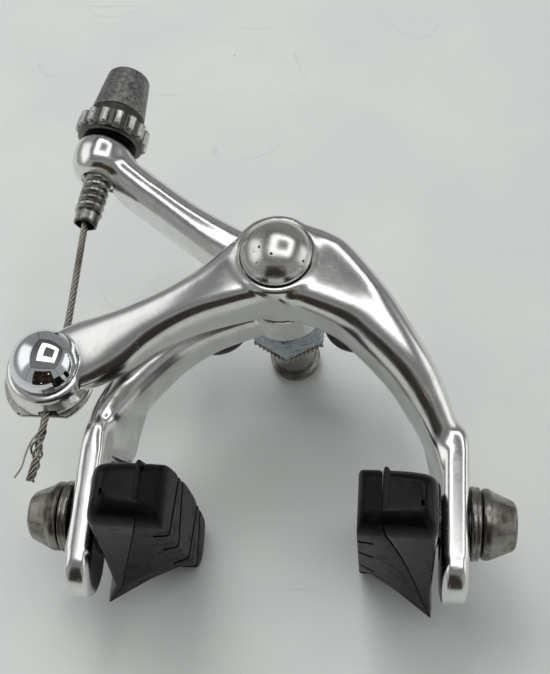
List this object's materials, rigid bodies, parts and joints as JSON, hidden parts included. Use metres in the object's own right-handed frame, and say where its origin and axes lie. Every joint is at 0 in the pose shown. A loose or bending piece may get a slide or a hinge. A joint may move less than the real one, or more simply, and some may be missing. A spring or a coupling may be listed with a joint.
{
  "type": "rim brake caliper",
  "caption": "Side-pull bicycle rim brake caliper: two pivoting arms with slotted pad mounts, return spring, cable anchor and barrel adjuster.",
  "frame": {"origin": "on the pivot bolt's axis, at the bolt's rear end, 17.1 mm behind the plane where the toothed washer rests on the bicycle frame", "axes": "+Y along the pivot bolt towards the bicycle frame, +Z away from the wheel's centre, +X towards the right-hand arm"},
  "size_m": [0.1045, 0.0601, 0.1185],
  "materials": {
    "polished_aluminium": "polished, lightly scratched",
    "aged_aluminium": "dull polish with pits",
    "chrome": "mirror",
    "oxidised_steel": "dark, oxidised",
    "zinc": "zinc plated, satin",
    "spring_steel": "dark spring steel",
    "cable_steel": "stranded wire",
    "rubber": "matte, scuffed",
    "moulded_plastic": "satin moulding"
  },
  "bodies": {
    "mount": {"center_bolt": "zinc", "pivot_cap": "aged_aluminium", "pivot_locknut": "zinc", "front_pivot_washer": "zinc", "middle_pivot_washer": "moulded_plastic", "rear_pivot_washer": "zinc", "spring_block": "zinc", "return_spring": "spring_steel", "star_washer": "zinc", "mounting_nut": "oxidised_steel"},
    "front_arm": {"front_arm": "polished_aluminium"},
    "rear_arm": {"rear_arm": "polished_aluminium", "wheel_seat_ring": "rubber"},
    "cable_clamp": {"anchor_bolt": "chrome", "clamp_plate": "oxidised_steel", "anchor_nut": "oxidised_steel", "brake_cable": "cable_steel"},
    "adjuster_wheel": {"adjuster_wheel": "oxidised_steel"},
    "adjuster_barrel": {"adjuster_barrel": "oxidised_steel", "housing_stop": "oxidised_steel"},
    "left_pad_mount": {"left_pad_nut": "oxidised_steel", "left_pad_washer": "oxidised_steel"},
    "right_pad_mount": {"right_pad_nut": "oxidised_steel", "right_pad_washer": "oxidised_steel"},
    "left_pad": {"left_pad_stud": "zinc", "left_pad_holder": "moulded_plastic", "left_pad_block": "rubber"},
    "right_pad": {"right_pad_stud": "zinc", "right_pad_holder": "moulded_plastic", "right_pad_block": "rubber"}
  },
  "joints": [
    {"name": "front_arm_pivot", "type": "hinge", "parent": "mount", "child": "front_arm", "pos_m": [0, -0.0476, 0], "axis": [0, 1, 0], "range_deg": [0, 8.5], "stiffness_Nm_per_rad": 0.35, "springref_deg": -20.05, "deforming": ["return_spring"]},
    {"name": "rear_arm_pivot", "type": "hinge", "parent": "mount", "child": "rear_arm", "pos_m": [0, -0.0351, 0], "axis": [0, 1, 0], "range_deg": [-8.5, 0]},
    {"name": "anchor_swivel", "type": "hinge", "parent": "front_arm", "child": "cable_clamp", "pos_m": [-0.0464, -0.0402, -0.0217], "axis": [0, 1, 0], "range_deg": [-8.5, 0]},
    {"name": "wheel_turn", "type": "hinge", "parent": "rear_arm", "child": "adjuster_wheel", "pos_m": [-0.0423, -0.0411, 0.03], "axis": [0.1219, 0, 0.9925], "range_deg": [0, 1440]},
    {"name": "barrel_slide", "type": "slide", "parent": "rear_arm", "child": "adjuster_barrel", "axis": [0.1219, 0, 0.9925], "range_m": [0, 0.0071]},
    {"name": "left_pad_slide", "type": "slide", "parent": "rear_arm", "child": "left_pad_mount", "axis": [0, 0, 1], "range_m": [-0.004, 0.001]},
    {"name": "left_pad_turn", "type": "hinge", "parent": "left_pad_mount", "child": "left_pad", "pos_m": [-0.0358, -0.0337, -0.0501], "axis": [1, 0, 0], "range_deg": [-8, 8]},
    {"name": "right_pad_slide", "type": "slide", "parent": "front_arm", "child": "right_pad_mount", "axis": [0, 0, 1], "range_m": [-0.004, 0.0025]},
    {"name": "right_pad_turn", "type": "hinge", "parent": "right_pad_mount", "child": "right_pad", "pos_m": [0.0363, -0.0337, -0.0474], "axis": [1, 0, 0], "range_deg": [-8, 8]}
  ],
  "couplings": [
    {"joint": "rear_arm_pivot", "follows": "front_arm_pivot", "ratio": -1},
    {"joint": "anchor_swivel", "follows": "front_arm_pivot", "ratio": -1},
    {"joint": "barrel_slide", "follows": "wheel_turn", "m_per_rad": 0.00027852}
  ]
}
